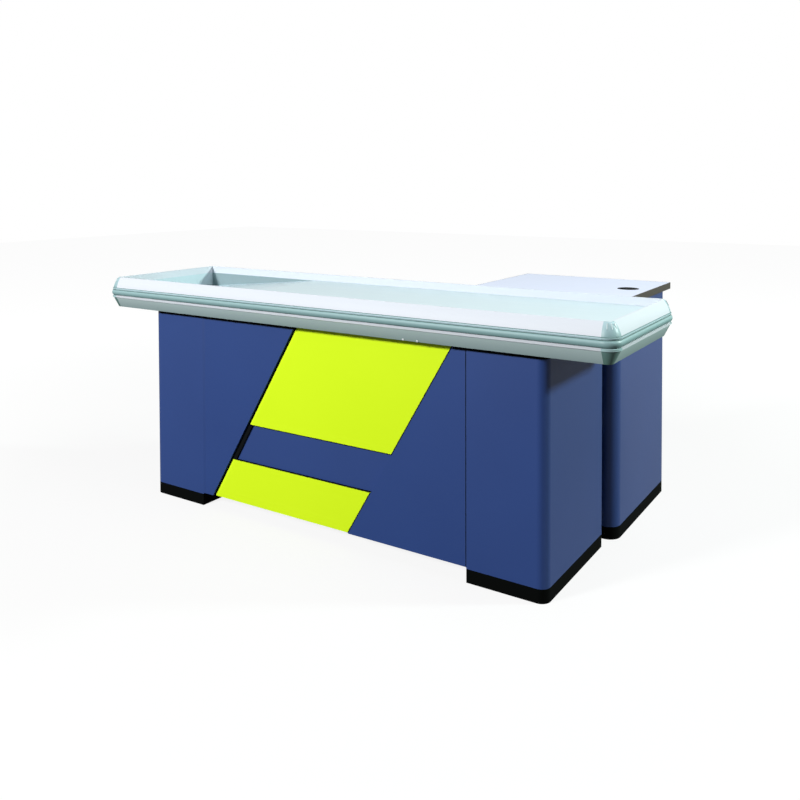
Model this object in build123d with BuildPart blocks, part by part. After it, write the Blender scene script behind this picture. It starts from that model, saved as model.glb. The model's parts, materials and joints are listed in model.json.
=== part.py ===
"""Supermarket checkout counter: a rail-edged tray top on two pedestals, with a side desk behind it.

Frame: +X along the counter, +Y from the customer's side to the cashier's side, +Z up.
Origin: bottom centre of the whole object, on the floor. All sizes are in millimetres.
"""
import os

from build123d import *

os.makedirs("parts", exist_ok=True)

# ---- Driving dimensions -------------------------------------------------------------------
# The counter
counter_length = 2144.0        # over the bumpers
counter_depth = 590.0          # over the bumpers
counter_height = 865.0
pedestal_width = 268.0
left_overhang = 220.0          # bumper beyond the pedestals at the left end
right_overhang = 230.0         # and at the right end
front_overhang = 57.0          # bumper beyond the pedestals at the front
rear_overhang = 57.0           # and at the rear
pedestal_bend = 32.0           # bend in the sheet at each pedestal's exposed corner
desk_bend = 45.0               # and at the desk's
sheet = 1.5                    # folded steel sheet
pedestal_lip = 25.0            # return flange beside each pedestal's open back
board = 18.0                   # shelves, cabinet floors and plinth walls
plinth_height = 44.0

# The rail that frames the top
rail_height = 120.0
rail_inner_height = 28.0       # lip that shows above the tray
rail_wall = 2.0
lip_step = 2.0                 # the lip rests this far onto the deck board
rail_reach = 33.0              # from the lip's inner face to the bumper's tip
rail_crown = 6.5               # width of the rail's top and bottom edges
rail_skin_reach = 27.3         # outermost point of the aluminium, above and below the bumper
channel_depth = 5.3            # channel in the aluminium that holds the bumper
channel_bottom = 48.5          # heights above the rail's lower edge
channel_top = 80.0
channel_foot_reach = 26.3      # the aluminium just below the bumper
rail_bead_reach = 30.0         # a white bead runs below the bumper, above a sloping face
rail_bead_height = 10.0
rail_bead_edge = 2.0
rail_slope_reach = 26.0        # top of the sloping face
bumper_tip_height = 61.0
bumper_groove_height = 72.0    # groove between the bumper's two lobes
bumper_groove_width = 1.0
bumper_groove_reach = 28.0
bumper_lobe_reach = 29.8       # tip of the small upper lobe
rail_bulge = 2.8               # rise of the rail's sloping shoulder over its chord
bumper_play = 0.3              # between the strip and its channel, above and below
corner_bend = 43.0             # plan radius of the bumper round a corner
corner_leg = 6.0               # straight end of each corner piece

# The frame and the tray under it
beam_width = 50.0
beam_height = 30.0
tube_wall = 2.0
end_member_width = 40.0
bearer_width = 30.0
bearer_count = 4
deck_board_thickness = 16.0
well_length = 637.0            # from the left lip to the top of the ramp
well_flange = 20.0             # flat end of the well pan, on the deck board

# The apron between the pedestals
apron_clearance_below = 4.0    # its lower edge above the pedestals' panels
apron_recess = 2.0             # its face behind the pedestals' faces
lime_recess = 8.0              # lime panels behind the pedestals' faces
apron_depth = 16.0             # stripe behind the pedestals' faces
apron_back_thickness = 1.5
slant = 0.598                  # sideways run of each slanted joint per unit of height
slant_foot = 57.0              # left slanted joint beyond the left pedestal, at the apron's foot
right_panel_head = 45.0        # top edge of the apron's right board
slant_joint = 8.0              # open joint on the lime panels' left
thin_joint = 1.5               # open joint on their right
end_joint = 2.0                # open joint between the apron's boards and the pedestals
stripe_bottom = 205.0
stripe_top = 352.0
lime_bevel_width = 9.0
lime_bevel_depth = 2.5
bracket_leg = 30.0
bracket_height = 60.0
bracket_thickness = 2.0
bracket_margin = 120.0         # brackets from the apron's upper and lower edges

# The side desk
desk_gap = 5.0                 # between the rear bumper and the desk top
desk_top_length = 622.0        # along X
desk_top_depth = 582.0         # along Y
desk_top_height = 848.0
desk_top_thickness = 25.0
desk_inset = 174.0             # desk top's right edge inside the counter's right end
edge_band = 2.0
desk_side_setback = 26.0       # cabinet behind the desk top's right edge
desk_rear_setback = 16.0
desk_front_setback = 3.0
desk_left_setback = 33.0
front_thickness = 18.0         # drawer front and door
front_gap = 1.0                # between a closed front and the cabinet
reveal = 3.0                   # between neighbouring fronts, and around them
drawer_front_height = 139.0
cross_rail_height = 24.0
cross_rail_depth = 12.0
shelf_drop = 1.0               # play at each shelf's edges
shelf_share_height = 330.0     # shelf above the cabinet's floor
shelf_rail_leg = 20.0
shelf_rail_inset = 50.0        # shelf rails from the cabinet's open side

# Drawer and its runners
drawer_side_gap = 12.5
drawer_length = 450.0
drawer_box_height = 88.0
drawer_wall = 12.0
drawer_bottom = 6.0
drawer_lift = 31.0             # drawer box above the drawer front's lower edge
channel_height = 36.0
channel_reach = 10.0
runner_sheet = 1.2
runner_play = 0.3

# Handles, hinges and locks
handle_span = 128.0
handle_rod = 10.0
handle_stand = 32.0
handle_post_clearance = 45.0   # door handle from the door's free edge
hinge_height = 70.0
hinge_knuckle = 5.0            # radius
hinge_pin = 2.5                # radius
hinge_pin_play = 0.05
hinge_leaf = 2.0
hinge_leaf_reach = 30.0
hinge_split = 0.4              # between the two knuckles
hinge_margin = 80.0            # hinges from the door's ends
hinge_offset = 6.0             # hinge axis behind the cabinet's back
lock_radius = 8.0
lock_head = 11.0
lock_head_thickness = 2.0
lock_play = 0.05
lock_margin = 22.0             # lock from the nearest edge of its front
lock_side = 60.0               # door lock from the door's free edge
cam_length = 22.0
cam_width = 12.0
cam_thickness = 2.5
cam_clearance = 1.5
key_slot_length = 9.0
key_slot_width = 2.0
key_slot_depth = 3.0

# Grommet in the desk top
grommet_side = 82.0            # its centre from the desk top's right edge
grommet_rear = 283.0           # and from the desk top's rear edge
grommet_flange = 40.0          # radius
grommet_flange_height = 2.5    # let into the desk top, level with its face
grommet_flange_play = 0.2
grommet_tube = 35.0            # radius
grommet_bore = 30.0            # radius
grommet_cap = 36.0             # radius
grommet_cap_play = 0.1
grommet_floor = 0.8            # flange left under the cap
grommet_notch_width = 22.0
grommet_notch_depth = 26.0
grommet_tube_length = 20.0

# Brackets that tie the desk to the counter
link_height = 60.0
link_sheet = 3.0
link_heights = (160.0, 640.0)
bolt_radius = 3.0
bolt_head_radius = 5.0
bolt_head_height = 3.5
bolt_tail = 8.0                # thread beyond the sheet that it clamps

# ---- Derived positions --------------------------------------------------------------------
total_depth = counter_depth + desk_gap + desk_top_depth
front_y = -total_depth / 2
rear_y = front_y + counter_depth
left_x = -counter_length / 2
right_x = counter_length / 2
face_y = front_y + front_overhang
pedestal_rear_y = rear_y - rear_overhang
rail_bottom = counter_height - rail_height

# inner faces of the lip, and the seats for the tray behind it
lip_left, lip_right = left_x + rail_reach, right_x - rail_reach
lip_front, lip_rear = front_y + rail_reach, rear_y - rail_reach
seat_left, seat_right = lip_left - lip_step, lip_right + lip_step
seat_front, seat_rear = lip_front - lip_step, lip_rear + lip_step
deck_top = counter_height - rail_inner_height
deck_board_top = deck_top - sheet
deck_board_bottom = deck_board_top - deck_board_thickness
beam_top = rail_bottom + beam_height
ramp_top_x = lip_left + well_length

desk_right = right_x - desk_inset
desk_left = desk_right - desk_top_length
desk_front = rear_y + desk_gap
desk_rear = desk_front + desk_top_depth
desk_top_bottom = desk_top_height - desk_top_thickness


class Cabinet:
    """The outline and top of one cabinet, its bent corner, and the side that is open."""

    def __init__(self, name, x_low, x_high, y_low, y_high, top, bend_x, bend, open_side):
        self.name = name
        self.x_low, self.x_high = x_low, x_high
        self.y_low, self.y_high = y_low, y_high
        self.top = top
        self.bend_x = bend_x
        self.bend = bend
        self.open_side = open_side


left_pedestal = Cabinet(
    "left", left_x + left_overhang, left_x + left_overhang + pedestal_width,
    face_y, pedestal_rear_y, rail_bottom, left_x + left_overhang, pedestal_bend, "rear")
right_pedestal = Cabinet(
    "right", right_x - right_overhang - pedestal_width, right_x - right_overhang,
    face_y, pedestal_rear_y, rail_bottom, right_x - right_overhang, pedestal_bend, "rear")
desk = Cabinet(
    "desk", desk_left + desk_left_setback, desk_right - desk_side_setback,
    desk_front + desk_front_setback, desk_rear - desk_rear_setback, desk_top_bottom,
    desk_right - desk_side_setback, desk_bend, "left")


link_low_x, link_high_x = right_pedestal.x_low, right_pedestal.x_low + pedestal_lip
link_front, link_rear = right_pedestal.y_high, desk.y_low
bolt_x = (link_low_x + link_sheet + link_high_x) / 2


def save(part, name):
    """Label a finished piece and write it to its own file."""
    part.label = name
    export_step(part, f"parts/{name}.step")


def box_between(low, high):
    """Add a block that spans two corners to the part being built."""
    centre = [(a + b) / 2 for a, b in zip(low, high)]
    size = [b - a for a, b in zip(low, high)]
    with Locations(Vector(*centre)):
        Box(*size)


def cut_between(low, high):
    """Cut away a block that spans two corners from the part being built."""
    centre = [(a + b) / 2 for a, b in zip(low, high)]
    size = [b - a for a, b in zip(low, high)]
    with Locations(Vector(*centre)):
        Box(*size, mode=Mode.SUBTRACT)


# ---- Cabinets -----------------------------------------------------------------------------
def footprint(cabinet, inset, height):
    """The cabinet's plan, shrunk by inset, with its exposed front corner bent round."""
    width = cabinet.x_high - cabinet.x_low - 2 * inset
    depth = cabinet.y_high - cabinet.y_low - 2 * inset
    middle = ((cabinet.x_low + cabinet.x_high) / 2, (cabinet.y_low + cabinet.y_high) / 2)
    with BuildSketch(Plane.XY.offset(height)) as plan:
        with Locations(middle):
            Rectangle(width, depth)
        corner = plan.vertices().sort_by_distance((cabinet.bend_x, cabinet.y_low, height))[0]
        fillet(corner, cabinet.bend - inset)
    return plan.sketch


def make_plinth(cabinet):
    """A black ring of boards that the cabinet stands on."""
    with BuildPart() as plinth:
        extrude(footprint(cabinet, 0, 0), amount=plinth_height)
        extrude(footprint(cabinet, board, 0), amount=plinth_height, mode=Mode.SUBTRACT)
    save(plinth.part, f"plinth_{cabinet.name}")


def drill_for_bolts(start_y, depth):
    """Cut the link bolts' holes through a wall of the part being built."""
    with BuildSketch(Plane.XZ.offset(-start_y)) as holes:
        with Locations(*[(bolt_x, middle_z) for middle_z in link_heights]):
            Circle(bolt_radius)
    extrude(holes.sketch, amount=-depth, mode=Mode.SUBTRACT)


def make_shell(cabinet):
    """The folded sheet body, open on one side."""
    height = cabinet.top - plinth_height
    with BuildPart() as shell:
        extrude(footprint(cabinet, 0, plinth_height), amount=height)
        extrude(footprint(cabinet, sheet, plinth_height), amount=height, mode=Mode.SUBTRACT)
        if cabinet.open_side == "rear":
            cut_between(
                (cabinet.x_low + pedestal_lip, cabinet.y_high - sheet, plinth_height),
                (cabinet.x_high - pedestal_lip, cabinet.y_high, cabinet.top))
        else:
            cut_between(
                (cabinet.x_low, cabinet.y_low + sheet, plinth_height),
                (cabinet.x_low + sheet, cabinet.y_high - sheet, cabinet.top))
        if cabinet is right_pedestal:
            drill_for_bolts(link_front - sheet, sheet)
        if cabinet is desk:
            drill_for_bolts(link_rear, sheet)
    save(shell.part, f"shell_{cabinet.name}")


def make_floor(cabinet):
    """The board that closes the cabinet's foot, on the plinth's walls."""
    with BuildPart() as floor:
        extrude(footprint(cabinet, sheet, plinth_height), amount=board)
    save(floor.part, f"floor_{cabinet.name}")


shelf_bottom = plinth_height + board + shelf_share_height


def make_shelf(cabinet):
    """A loose board on two rails."""
    with BuildPart() as shelf:
        extrude(footprint(cabinet, sheet + shelf_drop, shelf_bottom), amount=board)
    save(shelf.part, f"shelf_{cabinet.name}")


def make_shelf_rails(cabinet):
    """Two steel angles, one on each wall, that carry the shelf."""
    along_y = cabinet.open_side == "rear"
    with BuildPart() as rails:
        for side in (-1, 1):
            if along_y:
                wall = (cabinet.x_low + sheet) if side < 0 else (cabinet.x_high - sheet)
                start = cabinet.y_low + sheet + shelf_rail_inset
                end = cabinet.y_high - sheet - shelf_rail_inset
                profile_plane = Plane.XZ.offset(-start)
            else:
                wall = (cabinet.y_low + sheet) if side < 0 else (cabinet.y_high - sheet)
                start = cabinet.x_low + shelf_rail_inset
                end = cabinet.x_high - sheet - shelf_rail_inset
                profile_plane = Plane.YZ.offset(start)
            direction = -side
            with BuildSketch(profile_plane):
                with BuildLine():
                    Polyline(
                        (wall, shelf_bottom),
                        (wall + direction * shelf_rail_leg, shelf_bottom),
                        (wall + direction * shelf_rail_leg, shelf_bottom - sheet),
                        (wall + direction * sheet, shelf_bottom - sheet),
                        (wall + direction * sheet, shelf_bottom - shelf_rail_leg),
                        (wall, shelf_bottom - shelf_rail_leg),
                        close=True)
                make_face()
            extrude(amount=-(end - start) if along_y else end - start)
    save(rails.part, f"shelf_rails_{cabinet.name}")


for cabinet in (left_pedestal, right_pedestal, desk):
    make_plinth(cabinet)
    make_shell(cabinet)
    make_floor(cabinet)
    make_shelf(cabinet)
    make_shelf_rails(cabinet)


# ---- Frame under the tray -----------------------------------------------------------------
def make_beam(name, low_y):
    """A rectangular steel tube along the whole counter, on the pedestals' walls."""
    high_y = low_y + beam_width
    with BuildPart() as beam:
        box_between((seat_left, low_y, rail_bottom), (seat_right, high_y, beam_top))
        cut_between(
            (seat_left, low_y + tube_wall, rail_bottom + tube_wall),
            (seat_right, high_y - tube_wall, beam_top - tube_wall))
    save(beam.part, name)


make_beam("beam_front", seat_front)
make_beam("beam_rear", seat_rear - beam_width)

with BuildPart() as end_members:
    for low_x in (seat_left, seat_right - end_member_width):
        high_x = low_x + end_member_width
        low_y, high_y = seat_front + beam_width, seat_rear - beam_width
        box_between((low_x, low_y, rail_bottom), (high_x, high_y, beam_top))
        cut_between(
            (low_x + tube_wall, low_y, rail_bottom + tube_wall),
            (high_x - tube_wall, high_y, beam_top - tube_wall))
save(end_members.part, "end_members")

bearer_first = ramp_top_x + bearer_width / 2
bearer_last = seat_right - bearer_width / 2
bearer_pitch = (bearer_last - bearer_first) / (bearer_count - 1)
with BuildPart() as bearers:
    for index in range(bearer_count):
        middle_x = bearer_first + index * bearer_pitch
        low = (middle_x - bearer_width / 2, seat_front, beam_top)
        high = (middle_x + bearer_width / 2, seat_rear, deck_board_bottom)
        box_between(low, high)
        cut_between(
            (low[0] + tube_wall, low[1], low[2] + tube_wall),
            (high[0] - tube_wall, high[1], high[2] - tube_wall))
save(bearers.part, "bearers")


# ---- Tray: flat deck and sloping well -----------------------------------------------------
with BuildPart() as deck_board:
    box_between((ramp_top_x, seat_front, deck_board_bottom), (seat_right, seat_rear, deck_board_top))
save(deck_board.part, "deck_board")

with BuildPart() as deck_plate:
    box_between(
        (ramp_top_x + well_flange, lip_front, deck_board_top), (lip_right, lip_rear, deck_top))
save(deck_plate.part, "deck_plate")

well_foot_x = seat_left + end_member_width
with BuildPart() as well_pan:
    with BuildSketch(Plane.XZ.offset(-seat_front)):
        with BuildLine():
            Polyline(
                (seat_left, beam_top), (well_foot_x, beam_top),
                (ramp_top_x, deck_board_top), (ramp_top_x + well_flange, deck_board_top),
                (ramp_top_x + well_flange, deck_top), (ramp_top_x, deck_top),
                (well_foot_x, beam_top + sheet), (seat_left + sheet, beam_top + sheet),
                (seat_left + sheet, deck_top), (seat_left, deck_top),
                close=True)
        make_face()
    extrude(amount=-(seat_rear - seat_front))
    for wall_y in (seat_front, seat_rear - sheet):
        with BuildSketch(Plane.XZ.offset(-wall_y)):
            with BuildLine():
                Polyline(
                    (seat_left, beam_top), (well_foot_x, beam_top), (ramp_top_x, deck_board_top),
                    (ramp_top_x, deck_top), (seat_left, deck_top), close=True)
            make_face()
        extrude(amount=-sheet)
    # the rails' lips come down over the pan's edges
    flange_end = ramp_top_x + well_flange
    for low, high in (
            ((seat_left, seat_front), (lip_left, seat_rear)),
            ((seat_left, seat_front), (flange_end, lip_front)),
            ((seat_left, lip_rear), (flange_end, seat_rear))):
        cut_between((*low, deck_board_top), (*high, deck_top))
save(well_pan.part, "well_pan")


# ---- Rails, bumper strips and corner pieces -----------------------------------------------
# Each profile is drawn in the plane across the rail: x outward from the lip's face, y upward.
def aluminium_outline():
    """Outer edge of the extrusion, with the channel for the bumper."""
    bead_bottom = channel_bottom - rail_bead_height
    with BuildLine() as outline:
        Polyline(
            (rail_crown, rail_height), (0, rail_height), (0, deck_board_top - rail_bottom),
            (lip_step, deck_board_top - rail_bottom), (lip_step, 0), (rail_crown, 0),
            (rail_slope_reach, bead_bottom), (rail_bead_reach, bead_bottom + rail_bead_edge),
            (rail_bead_reach, channel_bottom - rail_bead_edge),
            (channel_foot_reach, channel_bottom),
            (rail_skin_reach - channel_depth, channel_bottom),
            (rail_skin_reach - channel_depth, channel_top), (rail_skin_reach, channel_top))
        SagittaArc((rail_skin_reach, channel_top), (rail_crown, rail_height), -rail_bulge)
    return outline.line


def bumper_outline():
    """Edge of the soft strip: a large lobe below a small one."""
    inner, foot = rail_skin_reach - channel_depth, channel_foot_reach
    low, high = channel_bottom + bumper_play, channel_top - bumper_play
    groove_low = bumper_groove_height - bumper_groove_width / 2
    groove_high = groove_low + bumper_groove_width
    lobe_middle = (groove_high + high) / 2
    with BuildLine() as outline:
        Polyline((rail_skin_reach, high), (inner, high), (inner, low), (foot, low))
        ThreePointArc(
            (foot, low), (rail_reach, bumper_tip_height), (bumper_groove_reach, groove_low))
        Line((bumper_groove_reach, groove_low), (bumper_groove_reach, groove_high))
        ThreePointArc(
            (bumper_groove_reach, groove_high), (bumper_lobe_reach, lobe_middle),
            (rail_skin_reach, high))
    return outline.line


def profile_plane(side, start):
    """Plane across one side's rail at its start; the rail runs along the plane's normal."""
    if side == "front":
        return Plane(origin=(start, lip_front, rail_bottom), x_dir=(0, -1, 0), z_dir=(-1, 0, 0))
    if side == "rear":
        return Plane(origin=(start, lip_rear, rail_bottom), x_dir=(0, 1, 0), z_dir=(1, 0, 0))
    if side == "left":
        return Plane(origin=(lip_left, start, rail_bottom), x_dir=(-1, 0, 0), z_dir=(0, 1, 0))
    return Plane(origin=(lip_right, start, rail_bottom), x_dir=(1, 0, 0), z_dir=(0, -1, 0))


lip_corners = ((-1, -1), (1, -1), (1, 1), (-1, 1))
lip_sides = ("front", "right", "rear", "left")


def lip_corner(index, reach):
    """A corner of the lips in plan, some way out from their inner faces."""
    x_sign, y_sign = lip_corners[index % len(lip_corners)]
    return (
        lip_right + reach if x_sign > 0 else lip_left - reach,
        lip_rear + reach if y_sign > 0 else lip_front - reach)


def add_mitred_lip(side):
    """The rail's inner wall, run on at both ends to a mitre in front of the corner pieces."""
    index = lip_sides.index(side)
    with BuildSketch(Plane.XY.offset(deck_board_top)) as plan:
        with BuildLine():
            Polyline(
                lip_corner(index, 0), lip_corner(index + 1, 0),
                lip_corner(index + 1, rail_wall), lip_corner(index, rail_wall), close=True)
        make_face()
    extrude(plan.sketch, amount=counter_height - deck_board_top)


rail_trim = corner_bend + corner_leg
rail_runs = {
    "front": (right_x - rail_trim, counter_length - 2 * rail_trim),
    "rear": (left_x + rail_trim, counter_length - 2 * rail_trim),
    "left": (front_y + rail_trim, counter_depth - 2 * rail_trim),
    "right": (rear_y - rail_trim, counter_depth - 2 * rail_trim),
}

for side, (start, length) in rail_runs.items():
    with BuildPart() as rail:
        with BuildSketch(profile_plane(side, start)):
            make_face(aluminium_outline())
            offset(amount=-rail_wall, kind=Kind.INTERSECTION, mode=Mode.SUBTRACT)
        extrude(amount=length)
        add_mitred_lip(side)
    save(rail.part, f"rail_{side}")
    with BuildPart() as bumper:
        with BuildSketch(profile_plane(side, start)):
            make_face(bumper_outline())
        extrude(amount=length)
    save(bumper.part, f"bumper_{side}")


def make_corner(name, x_sign, y_sign):
    """A moulded corner: the whole profile turned a quarter round, with a short leg each way."""
    axis_x = x_sign * (counter_length / 2 - corner_bend)
    axis_y = (front_y + corner_bend) if y_sign < 0 else (rear_y - corner_bend)
    shift = corner_bend - rail_reach
    x_plane = Plane(
        origin=(axis_x, axis_y, rail_bottom), x_dir=(x_sign, 0, 0), z_dir=(0, -x_sign, 0))
    y_plane = Plane(
        origin=(axis_x, axis_y, rail_bottom), x_dir=(0, y_sign, 0), z_dir=(y_sign, 0, 0))
    turn = Axis((axis_x, axis_y, 0), (0, 0, x_sign * y_sign))
    lip_x, lip_y = (lip_left, lip_right)[x_sign > 0], (lip_front, lip_rear)[y_sign > 0]
    with BuildPart() as corner:
        for plane in (x_plane, y_plane):
            with BuildSketch(plane) as profile:
                with Locations((shift, 0)):
                    add(make_face(aluminium_outline(), mode=Mode.PRIVATE))
                    add(make_face(bumper_outline(), mode=Mode.PRIVATE))
            outward = -y_sign if plane is x_plane else -x_sign
            lead = plane.z_dir.Y if plane is x_plane else plane.z_dir.X
            extrude(profile.sketch, amount=corner_leg * outward * lead)
            if plane is x_plane:
                revolve(profile.sketch, axis=turn, revolution_arc=90)
        # square up the inside, behind the rails' lips above the deck board
        reach = corner_bend + corner_leg
        for step, low, high in (
                (rail_wall, deck_board_top, counter_height), (lip_step, rail_bottom, deck_board_top)):
            near_x, near_y = lip_x + x_sign * step, lip_y + y_sign * step
            far_x, far_y = near_x - x_sign * reach, near_y - y_sign * reach
            cut_between(
                (min(near_x, far_x), min(near_y, far_y), low),
                (max(near_x, far_x), max(near_y, far_y), high))
    save(corner.part, name)


make_corner("corner_front_left", -1, -1)
make_corner("corner_front_right", 1, -1)
make_corner("corner_rear_left", -1, 1)
make_corner("corner_rear_right", 1, 1)


# ---- Apron --------------------------------------------------------------------------------
apron_left, apron_right = left_pedestal.x_high, right_pedestal.x_low
apron_bottom = plinth_height + apron_clearance_below
apron_top = rail_bottom


def left_slant(height):
    """Where the left slanted joint's lime side stands at a height."""
    return apron_left + slant_foot + slant * (height - apron_bottom)


lime_width = apron_right - right_panel_head - thin_joint - left_slant(apron_top)


def right_slant(height):
    """Where the lime panels' right edge stands at a height."""
    return left_slant(height) + lime_width


def make_panel(name, recess, points, bevel=False):
    """A flat board in front of the apron's back panel, from its outline in X and Z."""
    with BuildPart() as panel:
        with BuildSketch(Plane.XZ.offset(-(face_y + recess))):
            with BuildLine():
                Polyline(*points, close=True)
            make_face()
        extrude(amount=-(apron_depth - recess))
        if bevel:
            front = panel.faces().sort_by(Axis.Y)[0]
            edge = front.edges().sort_by(Axis.X)[0]
            chamfer(edge, length=lime_bevel_depth, length2=lime_bevel_width, reference=edge_side(panel))
    save(panel.part, name)


def edge_side(panel):
    """The slanted face on a panel's left."""
    return panel.faces().sort_by(Axis.X)[0]


with BuildPart() as apron_back:
    box_between(
        (apron_left, face_y + apron_depth, apron_bottom),
        (apron_right, face_y + apron_depth + apron_back_thickness, apron_top))
save(apron_back.part, "apron_back")

panel_left, panel_right = apron_left + end_joint, apron_right - end_joint
make_panel("apron_panel_left", apron_recess, [
    (panel_left, apron_bottom), (left_slant(apron_bottom) - slant_joint, apron_bottom),
    (left_slant(apron_top) - slant_joint, apron_top), (panel_left, apron_top)])
make_panel("apron_panel_right", apron_recess, [
    (right_slant(apron_bottom) + thin_joint, apron_bottom), (panel_right, apron_bottom),
    (panel_right, apron_top), (right_slant(apron_top) + thin_joint, apron_top)])
make_panel("lime_panel_upper", lime_recess, [
    (left_slant(stripe_top), stripe_top), (right_slant(stripe_top), stripe_top),
    (right_slant(apron_top), apron_top), (left_slant(apron_top), apron_top)], bevel=True)
make_panel("lime_panel_lower", lime_recess, [
    (left_slant(apron_bottom), apron_bottom), (right_slant(apron_bottom), apron_bottom),
    (right_slant(stripe_bottom), stripe_bottom), (left_slant(stripe_bottom), stripe_bottom)],
    bevel=True)

bracket_y = face_y + apron_depth + apron_back_thickness
with BuildPart() as apron_brackets:
    for edge_x, inward in ((apron_left, 1), (apron_right, -1)):
        for middle_z in (apron_bottom + bracket_margin, apron_top - bracket_margin):
            with BuildSketch(Plane.XY.offset(middle_z - bracket_height / 2)):
                with BuildLine():
                    Polyline(
                        (edge_x, bracket_y), (edge_x + inward * bracket_leg, bracket_y),
                        (edge_x + inward * bracket_leg, bracket_y + bracket_thickness),
                        (edge_x + inward * bracket_thickness, bracket_y + bracket_thickness),
                        (edge_x + inward * bracket_thickness, bracket_y + bracket_leg),
                        (edge_x, bracket_y + bracket_leg), close=True)
                make_face()
            extrude(amount=bracket_height)
save(apron_brackets.part, "apron_brackets")


# ---- Desk top and grommet -----------------------------------------------------------------
grommet_x = desk_right - grommet_side
grommet_y = desk_rear - grommet_rear

with BuildPart() as desk_top:
    box_between(
        (desk_left + edge_band, desk_front + edge_band, desk_top_bottom),
        (desk_right - edge_band, desk_rear - edge_band, desk_top_height))
    with Locations((grommet_x, grommet_y, desk_top_height)):
        CounterBoreHole(
            grommet_tube, grommet_flange + grommet_flange_play, grommet_flange_height,
            depth=desk_top_thickness)
save(desk_top.part, "desk_top")

with BuildPart() as band:
    box_between(
        (desk_left, desk_front, desk_top_bottom), (desk_right, desk_rear, desk_top_height))
    cut_between(
        (desk_left + edge_band, desk_front + edge_band, desk_top_bottom),
        (desk_right - edge_band, desk_rear - edge_band, desk_top_height))
save(band.part, "desk_edge_band")

with BuildPart() as grommet_sleeve:
    for radius, height in ((grommet_flange, grommet_flange_height), (grommet_tube, grommet_tube_length)):
        with BuildSketch(Plane.XY.offset(desk_top_height)):
            with Locations((grommet_x, grommet_y)):
                Circle(radius)
        extrude(amount=-height)
    with Locations((grommet_x, grommet_y, desk_top_height)):
        CounterBoreHole(
            grommet_bore, grommet_cap + grommet_cap_play, grommet_flange_height - grommet_floor)
save(grommet_sleeve.part, "grommet_sleeve")

cap_bottom = desk_top_height - grommet_flange_height + grommet_floor + grommet_cap_play
with BuildPart() as cap:
    with BuildSketch(Plane.XY.offset(cap_bottom)):
        with Locations((grommet_x, grommet_y)):
            Circle(grommet_cap)
        with Locations((grommet_x - grommet_cap, grommet_y)):
            SlotCenterToCenter(
                2 * (grommet_notch_depth - grommet_notch_width / 2), grommet_notch_width,
                mode=Mode.SUBTRACT)
    extrude(amount=desk_top_height - cap_bottom)
save(cap.part, "grommet_cap")


# ---- Desk fronts --------------------------------------------------------------------------
front_back_x = desk.x_low - front_gap
front_face_x = front_back_x - front_thickness
fronts_low_y = desk.y_low
fronts_high_y = desk.y_high
drawer_front_top = desk.top - reveal
drawer_front_bottom = drawer_front_top - drawer_front_height
door_top = drawer_front_bottom - reveal
door_bottom = plinth_height + reveal
rail_middle_z = (drawer_front_bottom + door_top) / 2

with BuildPart() as cross_rail:
    box_between(
        (desk.x_low, desk.y_low + sheet, rail_middle_z - cross_rail_height / 2),
        (desk.x_low + cross_rail_depth, desk.y_high - sheet, rail_middle_z + cross_rail_height / 2))
save(cross_rail.part, "desk_cross_rail")

drawer_lock_y = (fronts_low_y + fronts_high_y) / 2
drawer_lock_z = drawer_front_bottom + lock_margin
door_lock_y = fronts_low_y + lock_side
door_lock_z = door_top - lock_margin


def make_front(name, bottom, top, lock_y, lock_z):
    """A drawer front or door, drilled for its lock."""
    with BuildPart() as front:
        box_between((front_face_x, fronts_low_y, bottom), (front_back_x, fronts_high_y, top))
        with BuildSketch(Plane.YZ.offset(front_face_x)):
            with Locations((lock_y, lock_z)):
                Circle(lock_radius + lock_play)
        extrude(amount=front_thickness, mode=Mode.SUBTRACT)
    save(front.part, name)


make_front("drawer_front", drawer_front_bottom, drawer_front_top, drawer_lock_y, drawer_lock_z)
make_front("door_panel", door_bottom, door_top, door_lock_y, door_lock_z)


def make_lock(name, lock_y, lock_z):
    """A lock plug with a head, a key slot and a cam that points to +Y when unlocked."""
    cam_x = desk.x_low + cross_rail_depth + cam_clearance
    with BuildPart() as lock:
        with BuildSketch(Plane.YZ.offset(front_face_x)):
            with Locations((lock_y, lock_z)):
                Circle(lock_radius)
        extrude(amount=cam_x + cam_thickness - front_face_x)
        with BuildSketch(Plane.YZ.offset(front_face_x - lock_play)):
            with Locations((lock_y, lock_z)):
                Circle(lock_head)
        extrude(amount=-lock_head_thickness)
        with BuildSketch(Plane.YZ.offset(front_face_x - lock_play - lock_head_thickness)):
            with Locations((lock_y, lock_z)):
                Rectangle(key_slot_length, key_slot_width)
        extrude(amount=key_slot_depth, mode=Mode.SUBTRACT)
        with BuildSketch(Plane.YZ.offset(front_face_x - lock_play)):
            with Locations((lock_y, lock_z)):
                Circle(lock_radius)
        extrude(amount=lock_play)
        box_between(
            (cam_x, lock_y, lock_z - cam_width / 2),
            (cam_x + cam_thickness, lock_y + cam_length, lock_z + cam_width / 2))
    save(lock.part, name)


make_lock("drawer_lock", drawer_lock_y, drawer_lock_z)
make_lock("door_lock", door_lock_y, door_lock_z)


def make_handle(name, middle_y, middle_z, upright):
    """A bent rod handle on a front's face."""
    half = handle_span / 2
    along = (0, 0, 1) if upright else (0, 1, 0)
    start = Vector(front_face_x, middle_y, middle_z) - Vector(*along) * half
    end = Vector(front_face_x, middle_y, middle_z) + Vector(*along) * half
    out = Vector(-handle_stand, 0, 0)
    with BuildPart() as handle:
        with BuildLine() as path:
            FilletPolyline(start, start + out, end + out, end, radius=handle_rod)
        with BuildSketch(Plane(origin=start, z_dir=(-1, 0, 0))):
            Circle(handle_rod / 2)
        sweep(path=path.line)
    save(handle.part, name)


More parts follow.
